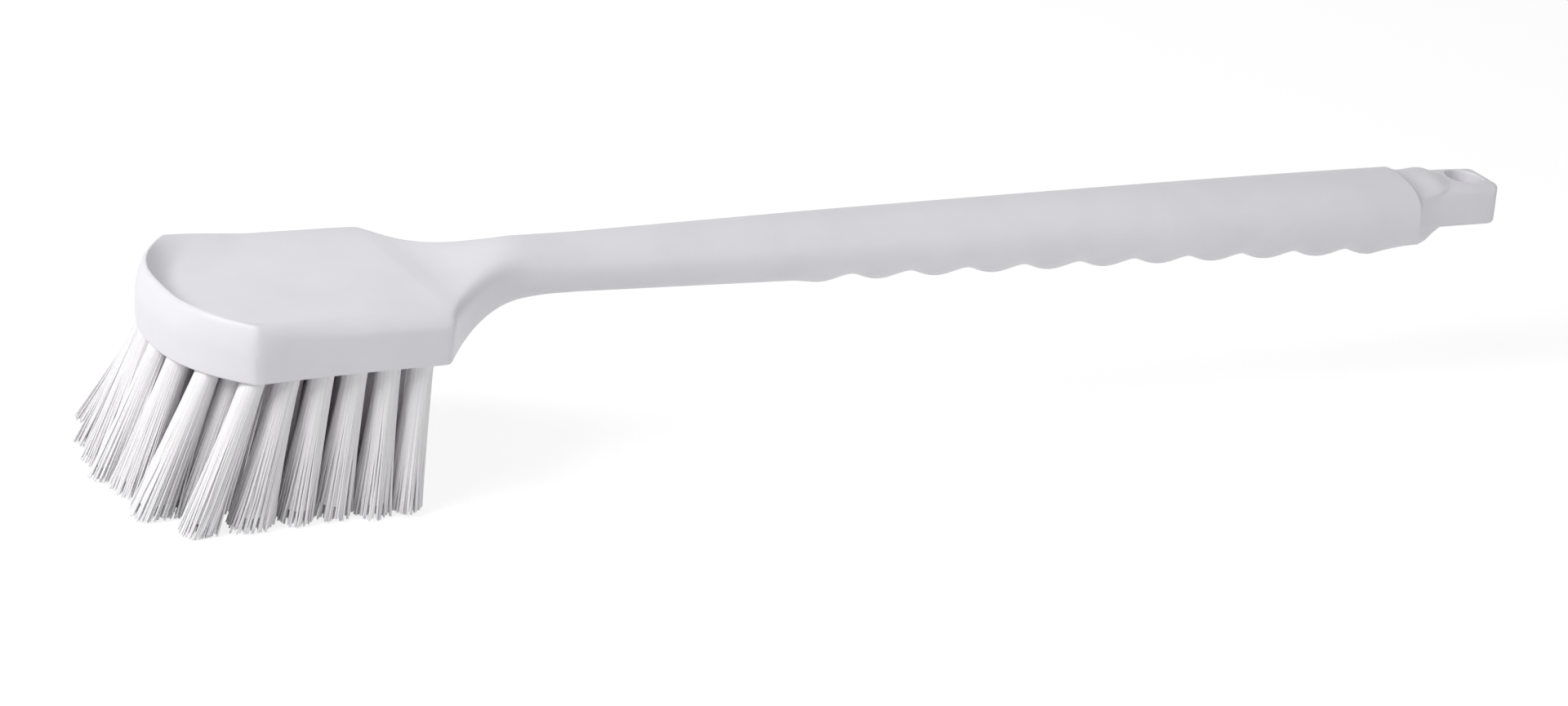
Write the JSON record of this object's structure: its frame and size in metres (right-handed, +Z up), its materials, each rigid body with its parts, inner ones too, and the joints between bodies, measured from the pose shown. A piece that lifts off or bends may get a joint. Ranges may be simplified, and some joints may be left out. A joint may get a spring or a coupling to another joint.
{
  "type": "pot brush",
  "caption": "Long-handled pot brush: moulded head, scalloped grip and hanging tab in one piece, with tufts of stiff white bristle set in the head's underside.",
  "frame": {"origin": "bottom centre of the brush's box: under the middle of its length and width, at the level of the bristle tips it stands on", "axes": "+X along the handle, from the head towards the hanging tab; +Y across the brush; +Z up, from the bristle tips to the top of the head"},
  "size_m": [0.5212, 0.0896, 0.074],
  "materials": {
    "white_polypropylene": "satin moulded",
    "white_polyester": "stiff crimp-free filament"
  },
  "bodies": {
    "root": {"handle_block": "white_polypropylene", "tuft_01": "white_polyester", "tuft_02": "white_polyester", "tuft_03": "white_polyester", "tuft_04": "white_polyester", "tuft_05": "white_polyester", "tuft_06": "white_polyester", "tuft_07": "white_polyester", "tuft_08": "white_polyester", "tuft_09": "white_polyester", "tuft_10": "white_polyester", "tuft_11": "white_polyester", "tuft_12": "white_polyester", "tuft_13": "white_polyester", "tuft_14": "white_polyester", "tuft_15": "white_polyester", "tuft_16": "white_polyester", "tuft_17": "white_polyester", "tuft_18": "white_polyester", "tuft_19": "white_polyester", "tuft_20": "white_polyester", "tuft_21": "white_polyester", "tuft_22": "white_polyester", "tuft_23": "white_polyester", "tuft_24": "white_polyester", "tuft_25": "white_polyester", "tuft_26": "white_polyester", "tuft_27": "white_polyester", "tuft_28": "white_polyester", "tuft_29": "white_polyester", "tuft_30": "white_polyester", "tuft_31": "white_polyester", "tuft_32": "white_polyester", "tuft_33": "white_polyester", "tuft_34": "white_polyester", "tuft_35": "white_polyester", "tuft_36": "white_polyester", "tuft_37": "white_polyester", "tuft_38": "white_polyester", "tuft_39": "white_polyester", "tuft_40": "white_polyester", "tuft_41": "white_polyester", "tuft_42": "white_polyester", "tuft_43": "white_polyester", "tuft_44": "white_polyester", "tuft_45": "white_polyester", "tuft_46": "white_polyester", "tuft_47": "white_polyester", "tuft_48": "white_polyester", "tuft_49": "white_polyester", "tuft_50": "white_polyester"}
  },
  "joints": []
}
